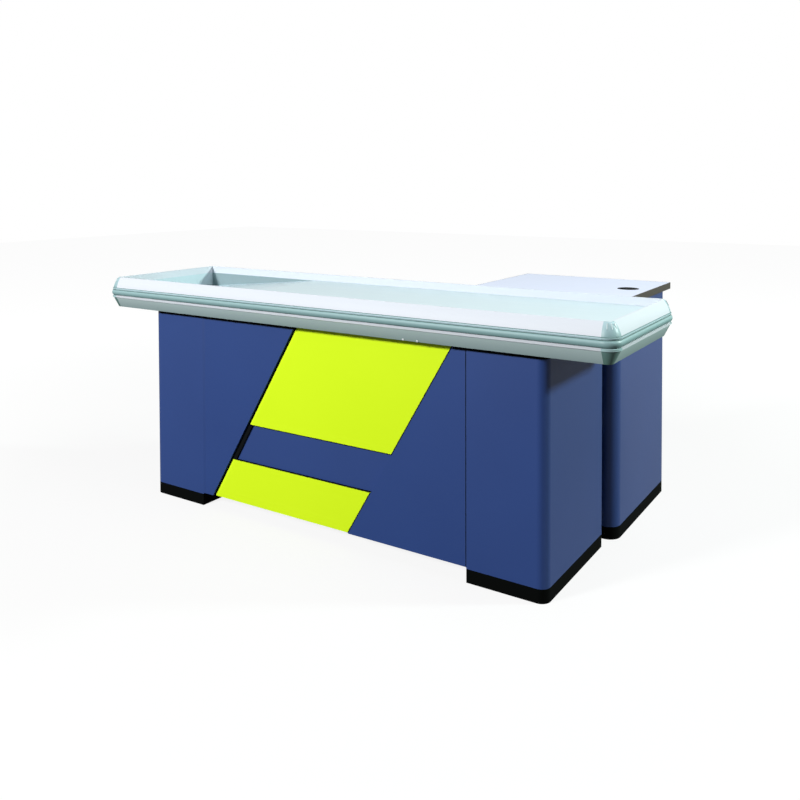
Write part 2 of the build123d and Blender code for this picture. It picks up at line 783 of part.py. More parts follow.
drawer_handle_z = (drawer_front_bottom + drawer_front_top) / 2 + lock_margin
make_handle("drawer_handle", drawer_lock_y, drawer_handle_z, False)
door_handle_y = fronts_low_y + handle_post_clearance
door_handle_z = door_lock_z - lock_margin - handle_span
make_handle("door_handle", door_handle_y, door_handle_z, True)


# ---- Drawer box and runners ---------------------------------------------------------------
box_low_y = desk.y_low + sheet + drawer_side_gap
box_high_y = desk.y_high - sheet - drawer_side_gap
box_bottom = drawer_front_bottom + drawer_lift
box_end_x = front_back_x + drawer_length
with BuildPart() as drawer_box:
    box_between(
        (front_back_x, box_low_y, box_bottom), (box_end_x, box_high_y, box_bottom + drawer_box_height))
    cut_between(
        (front_back_x + drawer_wall, box_low_y + drawer_wall, box_bottom + drawer_bottom),
        (box_end_x - drawer_wall, box_high_y - drawer_wall, box_bottom + drawer_box_height))
save(drawer_box.part, "drawer_box")

runner_start_x = desk.x_low + cross_rail_depth
channel_bottom_z = box_bottom + (drawer_box_height - channel_height) / 2


def add_channel(web_y, inward, reach, bottom, height):
    """A runner member folded from sheet: its web stands at web_y, its legs reach inward."""
    open_y = web_y + inward * reach
    web_inner = web_y + inward * runner_sheet
    box_between(
        (runner_start_x, min(web_y, open_y), bottom),
        (box_end_x, max(web_y, open_y), bottom + height))
    cut_between(
        (runner_start_x, min(web_inner, open_y), bottom + runner_sheet),
        (box_end_x, max(web_inner, open_y), bottom + height - runner_sheet))


drawer_sides = ((desk.y_low + sheet, 1), (desk.y_high - sheet, -1))
with BuildPart() as runners_cabinet:
    for wall_y, inward in drawer_sides:
        add_channel(wall_y, inward, channel_reach, channel_bottom_z, channel_height)
save(runners_cabinet.part, "runners_cabinet")

inner_play = runner_sheet + runner_play
with BuildPart() as runners_drawer:
    for wall_y, inward in drawer_sides:
        add_channel(
            wall_y + inward * inner_play, inward, drawer_side_gap - inner_play,
            channel_bottom_z + inner_play, channel_height - 2 * inner_play)
save(runners_drawer.part, "runners_drawer")


# ---- Door hinges --------------------------------------------------------------------------
hinge_x = desk.x_low - front_gap / 2
hinge_y = desk.y_high + hinge_offset
hinge_bottoms = (door_bottom + hinge_margin, door_top - hinge_margin - hinge_height)
leaf_height = (hinge_height - hinge_split) / 2


def make_knuckle(bottom, bore):
    """The rolled part of one leaf, about the hinge's axis."""
    with BuildSketch(Plane.XY.offset(bottom)) as knuckle:
        with Locations((hinge_x, hinge_y)):
            Circle(hinge_knuckle)
            Circle(bore, mode=Mode.SUBTRACT)
    extrude(knuckle.sketch, amount=leaf_height)


def make_hinge_leaves(name, x_far, lift, bore):
    """One leaf for each hinge, screwed flat on a rear edge and rolled round the pin."""
    low_x, high_x = sorted((hinge_x, x_far))
    with BuildPart() as leaves:
        for bottom in hinge_bottoms:
            box_between(
                (low_x, desk.y_high, bottom + lift),
                (high_x, desk.y_high + hinge_leaf, bottom + lift + leaf_height))
            make_knuckle(bottom + lift, bore)
    save(leaves.part, name)


make_hinge_leaves(
    "hinge_leaves_fixed", hinge_x + hinge_leaf_reach, 0, hinge_pin)
make_hinge_leaves(
    "hinge_leaves_moving", front_face_x, leaf_height + hinge_split, hinge_pin + hinge_pin_play)

with BuildPart() as hinge_pins:
    for bottom in hinge_bottoms:
        with BuildSketch(Plane.XY.offset(bottom)):
            with Locations((hinge_x, hinge_y)):
                Circle(hinge_pin)
        extrude(amount=hinge_height)
save(hinge_pins.part, "hinge_pins")


# ---- Brackets between the counter and the desk --------------------------------------------
with BuildPart() as link_brackets:
    for middle_z in link_heights:
        low_z, high_z = middle_z - link_height / 2, middle_z + link_height / 2
        box_between((link_low_x, link_front, low_z), (link_high_x, link_rear, high_z))
        cut_between(
            (link_low_x + link_sheet, link_front + link_sheet, low_z),
            (link_high_x, link_rear - link_sheet, high_z))
    drill_for_bolts(link_front, link_rear - link_front)
save(link_brackets.part, "link_brackets")

with BuildPart() as link_bolts:
    for middle_z in link_heights:
        for clamp_y, outward in ((link_front + link_sheet, -1), (link_rear - link_sheet, 1)):
            for radius, length in (
                    (bolt_radius, outward * (link_sheet + sheet + bolt_tail)),
                    (bolt_head_radius, -outward * bolt_head_height)):
                with BuildSketch(Plane.XZ.offset(-clamp_y)):
                    with Locations((bolt_x, middle_z)):
                        Circle(radius)
                extrude(amount=-length)
save(link_bolts.part, "link_bolts")
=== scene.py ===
# %% [markdown]
# # A supermarket checkout counter
# The counter is a rail-edged tray on two blue sheet-steel pedestals, with a panelled apron between them
# and a cashier's desk behind its right end. The solids come from a CAD frame that is already the right
# size. This lesson gives them their finishes, adds the small moulded, sealed and screwed details, and
# lights and frames the scene.

# %% Load the frame
import json
import math

import bpy
from mathutils import Matrix, Vector


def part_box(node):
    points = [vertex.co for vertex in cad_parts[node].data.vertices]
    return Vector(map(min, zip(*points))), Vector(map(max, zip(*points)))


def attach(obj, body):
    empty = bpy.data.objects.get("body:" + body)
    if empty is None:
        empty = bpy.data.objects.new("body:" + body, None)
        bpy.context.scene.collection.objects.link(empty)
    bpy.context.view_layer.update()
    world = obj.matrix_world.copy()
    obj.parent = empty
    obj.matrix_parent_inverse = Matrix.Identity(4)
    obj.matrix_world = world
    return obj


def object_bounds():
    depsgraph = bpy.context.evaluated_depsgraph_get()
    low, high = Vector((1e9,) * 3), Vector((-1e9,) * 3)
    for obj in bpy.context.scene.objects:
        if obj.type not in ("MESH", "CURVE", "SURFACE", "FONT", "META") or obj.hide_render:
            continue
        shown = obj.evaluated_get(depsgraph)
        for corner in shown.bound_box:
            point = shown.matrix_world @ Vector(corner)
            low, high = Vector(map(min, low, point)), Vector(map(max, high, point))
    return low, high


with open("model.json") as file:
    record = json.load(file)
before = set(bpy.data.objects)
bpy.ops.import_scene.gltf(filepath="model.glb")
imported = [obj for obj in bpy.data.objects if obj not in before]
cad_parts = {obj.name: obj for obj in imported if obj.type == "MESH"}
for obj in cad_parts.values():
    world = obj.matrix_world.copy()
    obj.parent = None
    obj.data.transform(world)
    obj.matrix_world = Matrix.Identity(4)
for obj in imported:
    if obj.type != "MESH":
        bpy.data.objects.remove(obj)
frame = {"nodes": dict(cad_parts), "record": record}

cad_low, cad_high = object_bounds()
nodes = frame["nodes"]
print("CAD nodes:", len(nodes), "size in mm:", [round(v * 1000) for v in cad_high - cad_low])

# %% [markdown]
# ## Units, colours and nodes
# Blender works in metres, while a workshop works in millimetres, so one constant turns one into the
# other. Paint charts give colours as sRGB hex values, but a shader mixes light and wants linear numbers.
# One function makes that change, so every colour below can be read and edited as a hex value.

# %% Units and colours
MM = 0.001


def linear(hex_colour):
    """An sRGB hex colour as the linear RGBA that a shader takes."""
    parts = [int(hex_colour[i:i + 2], 16) / 255 for i in (1, 3, 5)]
    return tuple(c / 12.92 if c <= 0.04045 else ((c + 0.055) / 1.055) ** 2.4 for c in parts) + (1.0,)


def per_metre(size_mm):
    """The texture scale that repeats a pattern once in a size given in millimetres."""
    return 1 / (size_mm * MM)


# %% [markdown]
# A finish is a graph of shader nodes. One function adds a node, sets its inputs and links it, so that each
# finish below stays a short list of what it is made of.

# %% One helper for every shader node
def add_node(material, kind, settings=None, links=None):
    """Add a node, set its properties or unlinked sockets, and link its inputs.

    Properties go by name, and sockets by name or number.
    """
    new = material.node_tree.nodes.new(kind)
    for name, value in (settings or {}).items():
        if isinstance(name, str) and hasattr(new, name):
            setattr(new, name, value)
        else:
            new.inputs[name].default_value = value
    for name, source in (links or {}).items():
        material.node_tree.links.new(source, new.inputs[name])
    return new


def start_material(name, colour, roughness, **sockets):
    """A Principled material, and the Object coordinates that its patterns read."""
    material = bpy.data.materials.new(name)
    material.use_nodes = True
    material.node_tree.nodes.clear()
    shader = add_node(material, "ShaderNodeBsdfPrincipled", {
        "Base Color": linear(colour), "Roughness": roughness, **sockets})
    add_node(material, "ShaderNodeOutputMaterial", links={"Surface": shader.outputs["BSDF"]})
    place = add_node(material, "ShaderNodeTexCoord").outputs["Object"]
    return material, shader, place


# %% [markdown]
# Three things vary over most surfaces: the tone, the gloss and the height. Each has its own short
# function, which takes the pattern that drives it.

# %% Let a pattern drive tone, gloss or height
MIX_FIRST, MIX_SECOND, MIX_RESULT = 6, 7, 2


def vary_tone(material, shader, pattern, first, second):
    """Mix two tones by a pattern."""
    tones = add_node(
        material, "ShaderNodeMix",
        {"data_type": "RGBA", MIX_FIRST: linear(first), MIX_SECOND: linear(second)}, {"Factor": pattern})
    material.node_tree.links.new(tones.outputs[MIX_RESULT], shader.inputs["Base Color"])


def vary_gloss(material, shader, pattern, smooth, rough):
    """Run the roughness from smooth to rough by a pattern."""
    gloss = add_node(material, "ShaderNodeMapRange", {"To Min": smooth, "To Max": rough}, {"Value": pattern})
    material.node_tree.links.new(gloss.outputs["Result"], shader.inputs["Roughness"])


def vary_height(material, shader, pattern, strength, height_mm):
    """Raise the surface by a pattern."""
    bump = add_node(
        material, "ShaderNodeBump", {"Strength": strength, "Distance": height_mm * MM}, {"Height": pattern})
    material.node_tree.links.new(bump.outputs["Normal"], shader.inputs["Normal"])


def add_noise(material, place, size_mm, detail, distortion=0.0):
    """A noise whose blobs are about the given size."""
    noise = add_node(
        material, "ShaderNodeTexNoise",
        {"Scale": per_metre(size_mm), "Detail": detail, "Distortion": distortion}, {"Vector": place})
    return noise.outputs["Fac"]


def add_cells(material, place, size_mm):
    """A cellular pattern whose cells are about the given size."""
    cells = add_node(
        material, "ShaderNodeTexVoronoi", {"Scale": per_metre(size_mm), "Randomness": 1.0},
        {"Vector": place})
    return cells.outputs["Distance"]


def stretched(material, place, along_x):
    """The place, with its X shortened, so that a pattern read from it is drawn out along X."""
    return add_node(
        material, "ShaderNodeMapping", {"Scale": (along_x, 1.0, 1.0)}, {"Vector": place}).outputs["Vector"]


# %% [markdown]
# ## Powder-coated sheet steel
# The pedestals and the desk are folded from 1.5 mm steel and sprayed with polyester powder, which melts
# in an oven to a smooth satin skin with a faint orange peel. A real peel is about 1 mm from crest to
# crest. Here it is drawn at 6 mm, because a finer one would vanish in the render. A broad, weak noise
# keeps the large plain faces from looking like flat fills. Handled powder also turns hazy at low angles,
# and a weak sheen shows that.

# %% Blue powder coat
BLUE = "#2A4786"
BLUE_DEEP = "#26407B"
CLOUD_MM = 420
PEEL_STRENGTH = 0.35
HAZE_ROUGHNESS = 0.35


def sprayed_finish(name, colour, second_colour, roughness, specular, peel_mm, peel_height_mm, haze=0.0):
    """A sprayed skin: two close tones in broad clouds, a shallow orange peel, and a haze at low angles."""
    material, shader, place = start_material(
        name, colour, roughness,
        **{"Specular IOR Level": specular, "Sheen Weight": haze, "Sheen Roughness": HAZE_ROUGHNESS})
    vary_tone(material, shader, add_noise(material, place, CLOUD_MM, 2.0), colour, second_colour)
    vary_height(material, shader, add_noise(material, place, peel_mm, 1.0), PEEL_STRENGTH, peel_height_mm)
    return material


blue_powder = sprayed_finish("blue polyester powder coat", BLUE, BLUE_DEEP, 0.42, 0.45, 6.0, 0.05, haze=0.3)
print("made", blue_powder.name)

# %% [markdown]
# ## Lacquered fibreboard
# The slanted boards of the apron are sprayed fibreboard. Lacquer flows out flatter than powder, so the
# peel is shallower and there is no haze. The blue is mixed to match the steel. The lime is a clean,
# saturated yellow-green whose red and green are both strong and whose blue is nearly nothing, in a
# duller lacquer that hardly mirrors the room.

# %% Blue and lime lacquer
blue_lacquer = sprayed_finish("blue lacquered fibreboard", BLUE, BLUE_DEEP, 0.4, 0.45, 9.0, 0.03)
lime_lacquer = sprayed_finish("lime lacquered fibreboard", "#DEFF22", "#D9FC1C", 0.45, 0.15, 9.0, 0.02)
print("made", blue_lacquer.name, "and", lime_lacquer.name)

# %% [markdown]
# ## White powder-coated aluminium
# The rail is one extrusion with a white coat. The sloping face at its foot is grey-green, and painted
# shade makes it darker still, most of all at its foot, since it turns down and away from the lamps.
# Object coordinates give the height of each point in metres, so a hard step just under the white bead
# puts the change of colour at the bead's edge. Heights are counted from the foot of the rail.

# %% Rail finish
rail_low, rail_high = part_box("rail_front")
BEAD_FOOT = 39.5 * MM
BUMPER_FOOT = 48.5 * MM
BUMPER_GROOVE = 72.0 * MM
BUMPER_HEAD = 80.0 * MM
GROOVE_WIDTH = 2.5 * MM
HARD_EDGE = 0.2 * MM


def banded_finish(name, bands, roughness, specular):
    """A coat in bands: each starts at a height above the rail's foot, and runs from one tone to another."""
    material, shader, place = start_material(
        name, bands[0][1], roughness, **{"Specular IOR Level": specular})
    height = add_node(material, "ShaderNodeSeparateXYZ", links={"Vector": place})
    share = add_node(
        material, "ShaderNodeMapRange", {"From Min": rail_low.z, "From Max": rail_high.z},
        {"Value": height.outputs["Z"]})
    ramp = add_node(material, "ShaderNodeValToRGB", links={"Fac": share.outputs["Result"]})
    stops = ramp.color_ramp.elements
    rail_height = rail_high.z - rail_low.z
    heads = [foot for foot, _, _ in bands[1:]] + [rail_height]
    marks = []
    for (foot, foot_tone, head_tone), head in zip(bands, heads):
        marks += [(foot, foot_tone), (head - HARD_EDGE, head_tone)]
    for number, (mark, tone) in enumerate(marks):
        stop = stops[number] if number < 2 else stops.new(mark / rail_height)
        stop.position, stop.color = mark / rail_height, linear(tone)
    material.node_tree.links.new(ramp.outputs["Color"], shader.inputs["Base Color"])
    return material


# The lowest band is the sloping face: grey-green, with painted shade that darkens it towards the foot.
white_rail = banded_finish(
    "white and grey-green powder-coated aluminium",
    [(0, "#95AAAB", "#B6CACA"), (BEAD_FOOT, "#CBD1D8", "#CBD1D8"), (BUMPER_FOOT, "#D8DEE6", "#D8DEE6")],
    0.5, 0.25)
print("made", white_rail.name)

# %% [markdown]
# ## Soft bumper strip and moulded corners
# The bumper is plasticised PVC, extruded in two tones at once: a pale upper bead and a grey-green lower
# lobe. Its skin is matt and slightly waxy, so the roughness is high. Shade is painted into it: the narrow
# grooves beside each lobe are painted dark, and the lobe is painted lighter towards its top, where the
# light falls. The corner pieces are injection moulded in one harder grade of grey-green plastic, and their
# light and shade are painted on in bands down the same piece: a darker lower cap, the bumper's tones and
# dark grooves, and a paler upper cap that runs lighter towards its top. The same function that painted
# the rail paints these bands.

# %% PVC and corner mouldings
# Painted shade in the lobe: its foot groove and the groove under the bead are dark, and it runs lighter
# towards its top, where the light falls.
PVC_LOBE = [
    (BUMPER_FOOT, "#33494A", "#33494A"), (BUMPER_FOOT + GROOVE_WIDTH, "#7B9E9F", "#93B4B6"),
    (BUMPER_GROOVE - GROOVE_WIDTH, "#557371", "#557371")]
# The groove at the bumper's head is painted dark too: painted shade.
bumper_pvc = banded_finish(
    "two-tone extruded PVC",
    [(0, "#86A7A8", "#86A7A8")] + PVC_LOBE
    + [(BUMPER_GROOVE, "#BCD6DD", "#BCD6DD"), (BUMPER_HEAD - GROOVE_WIDTH, "#6E8E90", "#6E8E90")], 0.5, 0.35)
# Painted light and shade on the corners: a lower cap darker towards its foot, dark grooves, and an upper cap
# that runs lighter towards its top.
corner_moulding = banded_finish(
    "grey-green moulded plastic",
    [(0, "#56776F", "#668884"), (BEAD_FOOT, "#A3C1C3", "#A3C1C3")] + PVC_LOBE
    + [(BUMPER_GROOVE, "#A9C6CC", "#A9C6CC"), (BUMPER_HEAD - GROOVE_WIDTH, "#5E7F7E", "#5E7F7E"),
       (BUMPER_HEAD, "#8FB0B3", "#AECBD2")], 0.4, 0.4)
print("made", bumper_pvc.name, "and", corner_moulding.name)

# %% [markdown]
# ## Tray
# The deck and the well are folded steel with a cool white satin coat that lets goods slide. It is the
# smoothest coat on the counter, so it gets a lower roughness and no peel, only faint scuffs that run
# along the counter where boxes are pushed. A noise stretched twenty times along X draws them in the
# gloss.

# %% Tray coat
tray_coat, tray_shader, tray_place = start_material(
    "cool white satin coat", "#C7DBE2", 0.3, **{"Specular IOR Level": 0.35})
scuffs = add_noise(tray_coat, stretched(tray_coat, tray_place, 0.05), 12, 3.0)
vary_gloss(tray_coat, tray_shader, scuffs, 0.24, 0.4)
print("made", tray_coat.name)

# %% [markdown]
# ## Desk top
# The desk top is particle board faced with a lavender-white high-pressure laminate. Pressing plates
# leave a fine pebbled texture of about 1 mm, drawn here at 3 mm. The raw edge is hidden by a dark brown
# plastic band, which is smooth and has no pebbles.

# %% Laminate and edge band
desk_laminate, laminate_shader, laminate_place = start_material(
    "lavender-white pressed laminate", "#D5DCF2", 0.42, **{"Specular IOR Level": 0.35})
pebbles = add_noise(desk_laminate, laminate_place, 3, 2.0)
vary_height(desk_laminate, laminate_shader, pebbles, 0.25, 0.04)

edge_band, _, _ = start_material(
    "dark brown ABS edge band", "#4A453D", 0.4, **{"Specular IOR Level": 0.3})
print("made", desk_laminate.name, "and", edge_band.name)

# %% [markdown]
# ## Boards inside and below
# The plinths are faced with matt black laminate. Shelves and floors are pale grey melamine with a faint
# stipple. The board under the deck is never painted: it shows pressed wood chips, which a Voronoi
# pattern draws as cells of close browns, about 9 mm each. The drawer is birch plywood, and its grain
# runs along X.

# %% Boards
black_laminate, _, _ = start_material(
    "matt black laminated board", "#060807", 0.7, **{"Specular IOR Level": 0.04})

grey_melamine, melamine_shader, melamine_place = start_material("pale grey melamine board", "#C9CCD0", 0.5)
vary_height(grey_melamine, melamine_shader, add_noise(grey_melamine, melamine_place, 4, 2.0), 0.3, 0.05)

chip_board, chip_shader, chip_place = start_material("raw particle board", "#B4946A", 0.75)
vary_tone(chip_board, chip_shader, add_cells(chip_board, chip_place, 9), "#C4A578", "#8C6D45")

birch, birch_shader, birch_place = start_material("clear lacquered birch plywood", "#D9BE92", 0.45)
birch_grain = add_noise(birch, stretched(birch, birch_place, 0.06), 7, 5.0, distortion=0.6)
vary_tone(birch, birch_shader, birch_grain, "#E3CBA1", "#C09C69")
print("made four boards")

# %% [markdown]
# ## Metals and dark plastic
# Brackets, runners and hinges are zinc plated. Zinc is a grey metal whose plating dulls unevenly, so a
# weak cellular noise moves its roughness. Handles and locks are chrome plated: metallic and nearly
# mirror smooth. The frame under the tray is painted tube. The grommet and the joint profiles are black
# ABS, moulded with a dull grain that hardly mirrors anything.

# %% Metals and plastic
zinc, zinc_shader, zinc_place = start_material("zinc-plated steel", "#B9BCBE", 0.38, Metallic=1.0)
vary_gloss(zinc, zinc_shader, add_cells(zinc, zinc_place, 5), 0.3, 0.5)
chrome, _, _ = start_material("chrome-plated steel", "#E4E6E8", 0.09, Metallic=1.0)
frame_paint, _, _ = start_material("dark grey stoved paint", "#3A3D41", 0.5)
dark_abs, _, _ = start_material("black moulded ABS", "#101315", 0.7, **{"Specular IOR Level": 0.04})
print("made zinc, chrome, frame paint and ABS")

# %% [markdown]
# ## Dress the frame
# The record says which material slot each solid belongs to. Looking the finish up by slot, and not by
# node, means that every solid gets one, and that a change to a finish reaches all the solids made of it.

# %% Give each node its finish
finish_of_slot = {
    "blue_steel": blue_powder, "blue_board": blue_lacquer, "lime_board": lime_lacquer,
    "black_board": black_laminate, "grey_board": grey_melamine, "plain_board": chip_board,
    "frame_steel": frame_paint, "zinc_steel": zinc, "white_aluminium": white_rail,
    "bumper_plastic": bumper_pvc, "corner_plastic": corner_moulding, "tray_steel": tray_coat,
    "desk_laminate": desk_laminate, "edge_plastic": edge_band, "dark_plastic": dark_abs,
    "birch": birch, "chromed": chrome,
}
for part in frame["record"]["subparts"]:
    mesh = nodes[part["node"]].data
    mesh.materials.clear()
    mesh.materials.append(finish_of_slot[part["material_slot"]])

# %% [markdown]
# ## Helpers for new pieces
# An operator works on everything that is selected, so each piece starts from an empty selection. A
# finished piece has its place in its mesh and its object at the origin, like the CAD nodes, so that it
# rides on a body without slipping.

# %% Start and finish a piece
def clear_selection():
    """Leave nothing selected."""
    bpy.ops.object.select_all(action="DESELECT")


def pick(piece):
    """Select one piece alone and make it the active one."""
    clear_selection()
    piece.select_set(True)
    bpy.context.view_layer.objects.active = piece


def settle(piece, name, material, body):
    """Put a piece's place into its mesh, name it, dress it and let it ride on a body."""
    pick(piece)
    bpy.ops.object.transform_apply(location=True, rotation=True, scale=True)
    piece.name = piece.data.name = name
    piece.data.materials.clear()
    piece.data.materials.append(material)
    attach(piece, body)
    return piece


def copies_at(original, placements):
    """Copy a modelled piece to each placement, a 4x4 matrix, and join the copies into one object."""
    made = []
    for placement in placements:
        copy = original.copy()
        copy.data = original.data.copy()
        bpy.context.collection.objects.link(copy)
        copy.matrix_world = placement
        made.append(copy)
    bpy.data.objects.remove(original)
    clear_selection()
    for copy in made:
        copy.select_set(True)
    bpy.context.view_layer.objects.active = made[0]
    bpy.ops.object.transform_apply(location=True, rotation=True, scale=True)
    if len(made) > 1:
        bpy.ops.object.join()
    return bpy.context.view_layer.objects.active


# %% [markdown]
# Most pieces start as a cube stretched to a block. Other blocks cut them or trim them with a Boolean,
# and a block that has to lean or taper gets some of its corners slid along X in edit mode.

# %% Blocks, cuts and slides
def add_block(size, centre):
    """A plain block, which is a piece or a tool for cutting. Its place is in its mesh."""
    clear_selection()
    bpy.ops.mesh.primitive_cube_add(size=1, location=centre)
    block = bpy.context.object
    block.scale = size
    bpy.ops.object.transform_apply(location=True, rotation=True, scale=True)
    return block


def cut_with(piece, tool, operation="DIFFERENCE"):
    """Cut or trim a piece with a tool, and throw the tool away."""
    pick(piece)
    cut = piece.modifiers.new("cut", "BOOLEAN")
    cut.operation, cut.object, cut.solver = operation, tool, "EXACT"
    bpy.ops.object.modifier_apply(modifier=cut.name)
    bpy.data.objects.remove(tool)


def slide_corners(block, chosen, distance):
    """Slide the chosen corners of a block along X. They are chosen by their place about its middle."""
    corners = block.data.vertices
    middle = sum((corner.co for corner in corners), Vector()) / len(corners)
    bpy.ops.object.mode_set(mode="EDIT")
    bpy.ops.mesh.select_all(action="DESELECT")
    bpy.ops.object.mode_set(mode="OBJECT")
    for corner in block.data.vertices:
        corner.select = chosen(corner.co - middle)
    bpy.ops.object.mode_set(mode="EDIT")
    bpy.ops.transform.translate(value=(distance, 0, 0))
    bpy.ops.object.mode_set(mode="OBJECT")


# %% [markdown]
# ## Ribs on the corner caps
# Each corner cap has three moulded ribs near its top, which stiffen the thin nose of the moulding. A rib
# is a cube stretched to a bar, with its edges rounded. It lies on the cap's bulging cone, so it is
# tilted by the slope of the rail's shoulder and then turned about the corner's upright axis. Four
# corners take copies of one rib. The ribs are the cap's plastic, given a paler colour: a painted
# highlight, where the raised ribs catch the light.

# %% Model the ribs
CORNER_BEND = 43.0 * MM
RIB_LENGTH = 18.0 * MM
RIB_WIDTH = 2.6 * MM
RIB_STAND = 4.4 * MM
RIB_TURNS = (-30.0, 0.0, 30.0)
RIB_ROUNDING = 0.6 * MM
RIB_DROP = 12.0 * MM
SHOULDER_FOOT, SHOULDER_HEAD, SHOULDER_BULGE = 37.3 * MM, 16.5 * MM, 2.8 * MM
shoulder_low, shoulder_high = rail_low.z + BUMPER_HEAD, rail_high.z
shoulder_tilt = math.atan2(SHOULDER_FOOT - SHOULDER_HEAD, shoulder_high - shoulder_low)
rib_height = shoulder_high - RIB_DROP
rib_share = RIB_DROP / (shoulder_high - shoulder_low)
rib_radius = (
    SHOULDER_HEAD + (SHOULDER_FOOT - SHOULDER_HEAD) * rib_share
    + 4 * SHOULDER_BULGE * rib_share * (1 - rib_share))


def model_rib():
    """A round-edged bar along Z."""
    rib = add_block((RIB_STAND, RIB_WIDTH, RIB_LENGTH), (0, 0, 0))
    bpy.ops.object.mode_set(mode="EDIT")
    bpy.ops.mesh.select_all(action="SELECT")
    bpy.ops.mesh.bevel(offset=RIB_ROUNDING, segments=2)
    bpy.ops.object.mode_set(mode="OBJECT")
    return rib


def rib_placements(corner_name, x_sign, y_sign):
    """Where the three ribs of one corner go."""
    low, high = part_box(corner_name)
    tip = Vector(((low.x, high.x)[x_sign > 0], (low.y, high.y)[y_sign > 0], 0))
    axis = Vector((tip.x - x_sign * CORNER_BEND, tip.y - y_sign * CORNER_BEND, 0))
    middle = math.atan2(y_sign, x_sign)
    tilt = Matrix.Rotation(-shoulder_tilt, 4, "Y")
    reach = Matrix.Translation((rib_radius, 0, rib_height))
    return [
        Matrix.Translation(axis) @ Matrix.Rotation(middle + math.radians(turn), 4, "Z") @ reach @ tilt
        for turn in RIB_TURNS]


corner_signs = {
    "corner_front_left": (-1, -1), "corner_front_right": (1, -1),
    "corner_rear_left": (-1, 1), "corner_rear_right": (1, 1)}
all_ribs = [m for name, signs in corner_signs.items() for m in rib_placements(name, *signs)]
# The ribs' paler colour is a painted highlight.
rib_painted_highlight, _, _ = start_material(
    "moulded plastic with painted highlight", "#D6E5E8", 0.35, **{"Specular IOR Level": 0.4})
settle(copies_at(model_rib(), all_ribs), "corner_cap_ribs", rib_painted_highlight, "counter")
print("ribs:", len(all_ribs), "on a slope of", round(math.degrees(shoulder_tilt)), "degrees")

# %% [markdown]
# ## Screws
# The brackets behind the apron and the hinge leaves are held by pan-head screws. One screw head is
# modelled from a cylinder: its upper edge is bevelled into a dome, and a crossed recess is pressed into
# it with two thin blocks and a Boolean. Copies of it go to every fixing.

# %% Model one screw head
SCREW_RADIUS = 3.6 * MM
SCREW_HEIGHT = 1.8 * MM
SCREW_SIDES = 24
DOME_EDGE = 1.2 * MM
RECESS_LENGTH, RECESS_WIDTH, RECESS_DEPTH = 4.2 * MM, 0.9 * MM, 1.0 * MM


def model_screw():
    """A domed head on the plane z = 0 with a crossed recess."""
    clear_selection()
    bpy.ops.mesh.primitive_cylinder_add(
        vertices=SCREW_SIDES, radius=SCREW_RADIUS, depth=SCREW_HEIGHT, location=(0, 0, SCREW_HEIGHT / 2))
    head = bpy.context.object
    bpy.ops.object.transform_apply(location=True)
    bpy.ops.object.mode_set(mode="EDIT")
    bpy.ops.mesh.select_all(action="DESELECT")
    bpy.ops.object.mode_set(mode="OBJECT")
    for edge in head.data.edges:
        ends = [head.data.vertices[i].co for i in edge.vertices]
        edge.select = all(co.z > SCREW_HEIGHT / 2 for co in ends)
    bpy.ops.object.mode_set(mode="EDIT")
    bpy.ops.mesh.select_mode(type="EDGE")
    bpy.ops.mesh.bevel(offset=DOME_EDGE, segments=3)
    bpy.ops.object.mode_set(mode="OBJECT")
    for along_x, along_y in ((RECESS_LENGTH, RECESS_WIDTH), (RECESS_WIDTH, RECESS_LENGTH)):
        cut_with(head, add_block((along_x, along_y, 2 * RECESS_DEPTH), (0, 0, SCREW_HEIGHT)))
    return head


def facing(point, direction):
    """A placement at a point with the head pointing in a direction."""
    return Matrix.Translation(point) @ Vector(direction).to_track_quat("Z", "Y").to_matrix().to_4x4()


# %% [markdown]
# Each angle behind the apron is held by two screws to the panel and two to the pedestal's wall.

# %% Screws behind the apron
LEG = 30.0 * MM
LEG_THICKNESS = 2.0 * MM
BRACKET_HEIGHT = 60.0 * MM
SCREW_SPREAD = 17.0 * MM
LEG_SHARE = 0.6
bracket_low, bracket_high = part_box("apron_brackets")
bracket_places = []
for side, wall_x in ((1, bracket_low.x), (-1, bracket_high.x)):
    for middle_z in (bracket_low.z + BRACKET_HEIGHT / 2, bracket_high.z - BRACKET_HEIGHT / 2):
        for dz in (-SCREW_SPREAD, SCREW_SPREAD):
            on_panel = (wall_x + side * LEG * LEG_SHARE, bracket_low.y + LEG_THICKNESS, middle_z + dz)
            on_wall = (wall_x + side * LEG_THICKNESS, bracket_low.y + LEG * LEG_SHARE, middle_z + dz)
            bracket_places += [facing(on_panel, (0, 1, 0)), facing(on_wall, (side, 0, 0))]
settle(copies_at(model_screw(), bracket_places), "apron_bracket_screws", zinc, "counter")
print("bracket screws:", len(bracket_places))

# %% [markdown]
# Each hinge has a leaf on the cabinet and a leaf on the door, with two screws in each. The screws of the
# door's leaves ride on the door.

# %% Screws on the hinges
LEAF_SCREW_INSET = 9.0 * MM
LEAF_LENGTH = 34.8 * MM
LEAF_THICKNESS = 2.0 * MM
LEAF_SHARES = (0.25, 0.75)
for node_name, piece_name, body, edge in (
        ("hinge_leaves_fixed", "fixed_leaf_screws", "counter", "high"),
        ("hinge_leaves_moving", "moving_leaf_screws", "door", "low")):
    low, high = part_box(node_name)
    screw_x = high.x - LEAF_SCREW_INSET if edge == "high" else low.x + LEAF_SCREW_INSET
    places = []
    for leaf_bottom in (low.z, high.z - LEAF_LENGTH):
        for share in LEAF_SHARES:
            places.append(facing(
                (screw_x, low.y + LEAF_THICKNESS, leaf_bottom + share * LEAF_LENGTH), (0, 1, 0)))
    settle(copies_at(model_screw(), places), piece_name, zinc, body)
    print(piece_name + ":", len(places))

# %% [markdown]
# Two white-capped screws pin the front rail low on its sloping face. The slope runs out and up from the
# rail's foot, so a share of its run and the same share of its rise give a point on it.

